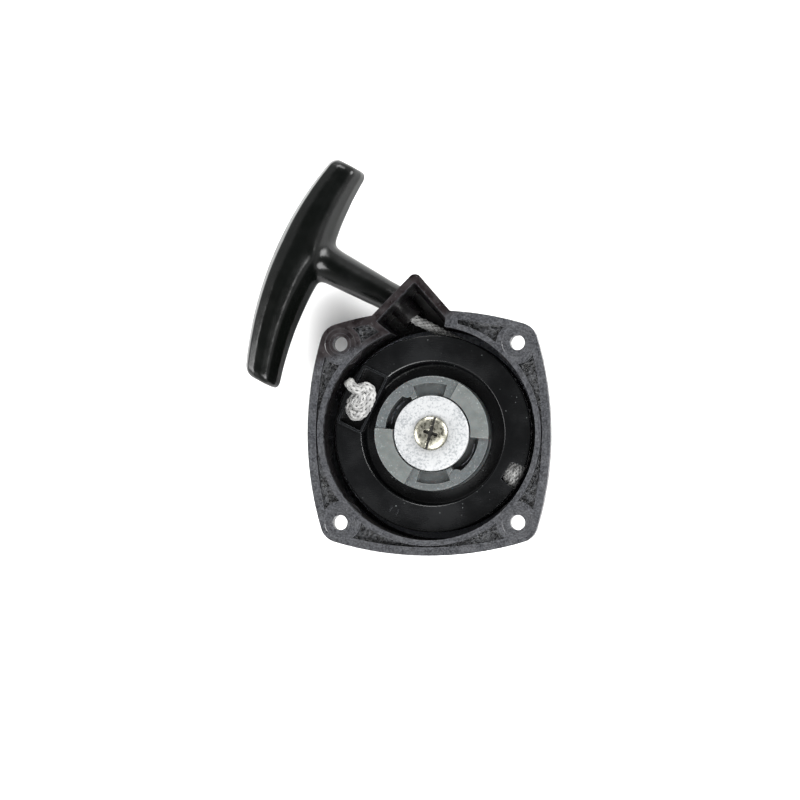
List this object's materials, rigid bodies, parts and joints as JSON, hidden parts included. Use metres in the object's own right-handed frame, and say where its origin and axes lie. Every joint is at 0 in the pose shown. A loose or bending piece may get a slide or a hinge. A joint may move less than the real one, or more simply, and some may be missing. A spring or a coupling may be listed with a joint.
{
  "type": "recoil starter",
  "caption": "Recoil starter for a small two-stroke engine: flanged bowl housing, spring-rewound rope reel with pawls, and a T-handle on a braided rope.",
  "frame": {"origin": "on the reel's axis, at the housing's flat outer back face", "axes": "+Z along the reel's axis, out of the open bowl towards the engine; +Y past the rope guide; +X to the right when looking into the bowl with the guide up"},
  "size_m": [0.1098, 0.139, 0.034],
  "materials": {
    "black_nylon": "fine grained, satin",
    "reel_nylon": "semi-gloss",
    "grey_nylon": "satin",
    "pawl_nylon": "satin",
    "bush_plastic": "glossy",
    "zinc": "zinc plated, fine mottled",
    "nickel": "nickel plated",
    "spring_steel": "blued, oiled",
    "rope_braid": "white diamond braid with grey flecks",
    "grip_rubber": "semi-gloss"
  },
  "bodies": {
    "housing_assembly": {"housing": "black_nylon", "rope_guide_bush": "bush_plastic", "rewind_spring": "spring_steel", "spring_cover": "spring_steel", "friction_spring": "spring_steel", "retaining_washer": "zinc", "centre_screw": "nickel", "rope_run": "rope_braid"},
    "reel_assembly": {"reel": "reel_nylon", "rope_winding": "rope_braid", "reel_knot": "rope_braid", "ratchet_carrier": "grey_nylon", "pawl_pin_a": "spring_steel", "pawl_pin_b": "spring_steel", "pawl_spring_a": "spring_steel", "pawl_spring_b": "spring_steel"},
    "pawl_a_body": {"pawl_a": "pawl_nylon"},
    "pawl_b_body": {"pawl_b": "pawl_nylon"},
    "handle_assembly": {"handle": "grip_rubber", "handle_cap": "grip_rubber", "handle_knot": "rope_braid", "rope_lead": "rope_braid"}
  },
  "joints": [
    {"name": "reel_spin", "type": "hinge", "parent": "housing_assembly", "child": "reel_assembly", "pos_m": [0, 0, 0.0238], "axis": [0, 0, 1], "range_deg": [0, 1427], "stiffness_Nm_per_rad": 0.012, "springref_deg": -721.93, "deforming": ["rewind_spring"]},
    {"name": "handle_pull", "type": "slide", "parent": "housing_assembly", "child": "handle_assembly", "axis": [-0.8821, 0.471, 0], "range_m": [0, 0.76], "deforming": ["rope_lead"]},
    {"name": "pawl_a_swing", "type": "hinge", "parent": "reel_assembly", "child": "pawl_a_body", "pos_m": [0.0087, -0.01507, 0.0195], "axis": [0, 0, -1], "range_deg": [0, 8.5], "stiffness_Nm_per_rad": 0.0004, "springref_deg": -8.59},
    {"name": "pawl_b_swing", "type": "hinge", "parent": "reel_assembly", "child": "pawl_b_body", "pos_m": [-0.0087, 0.01507, 0.0195], "axis": [0, 0, -1], "range_deg": [0, 8.5], "stiffness_Nm_per_rad": 0.0004, "springref_deg": -8.59}
  ],
  "couplings": [
    {"joint": "handle_pull", "follows": "reel_spin", "m_per_rad": 0.0305},
    {"joint": "pawl_b_swing", "follows": "pawl_a_swing", "ratio": 1}
  ]
}
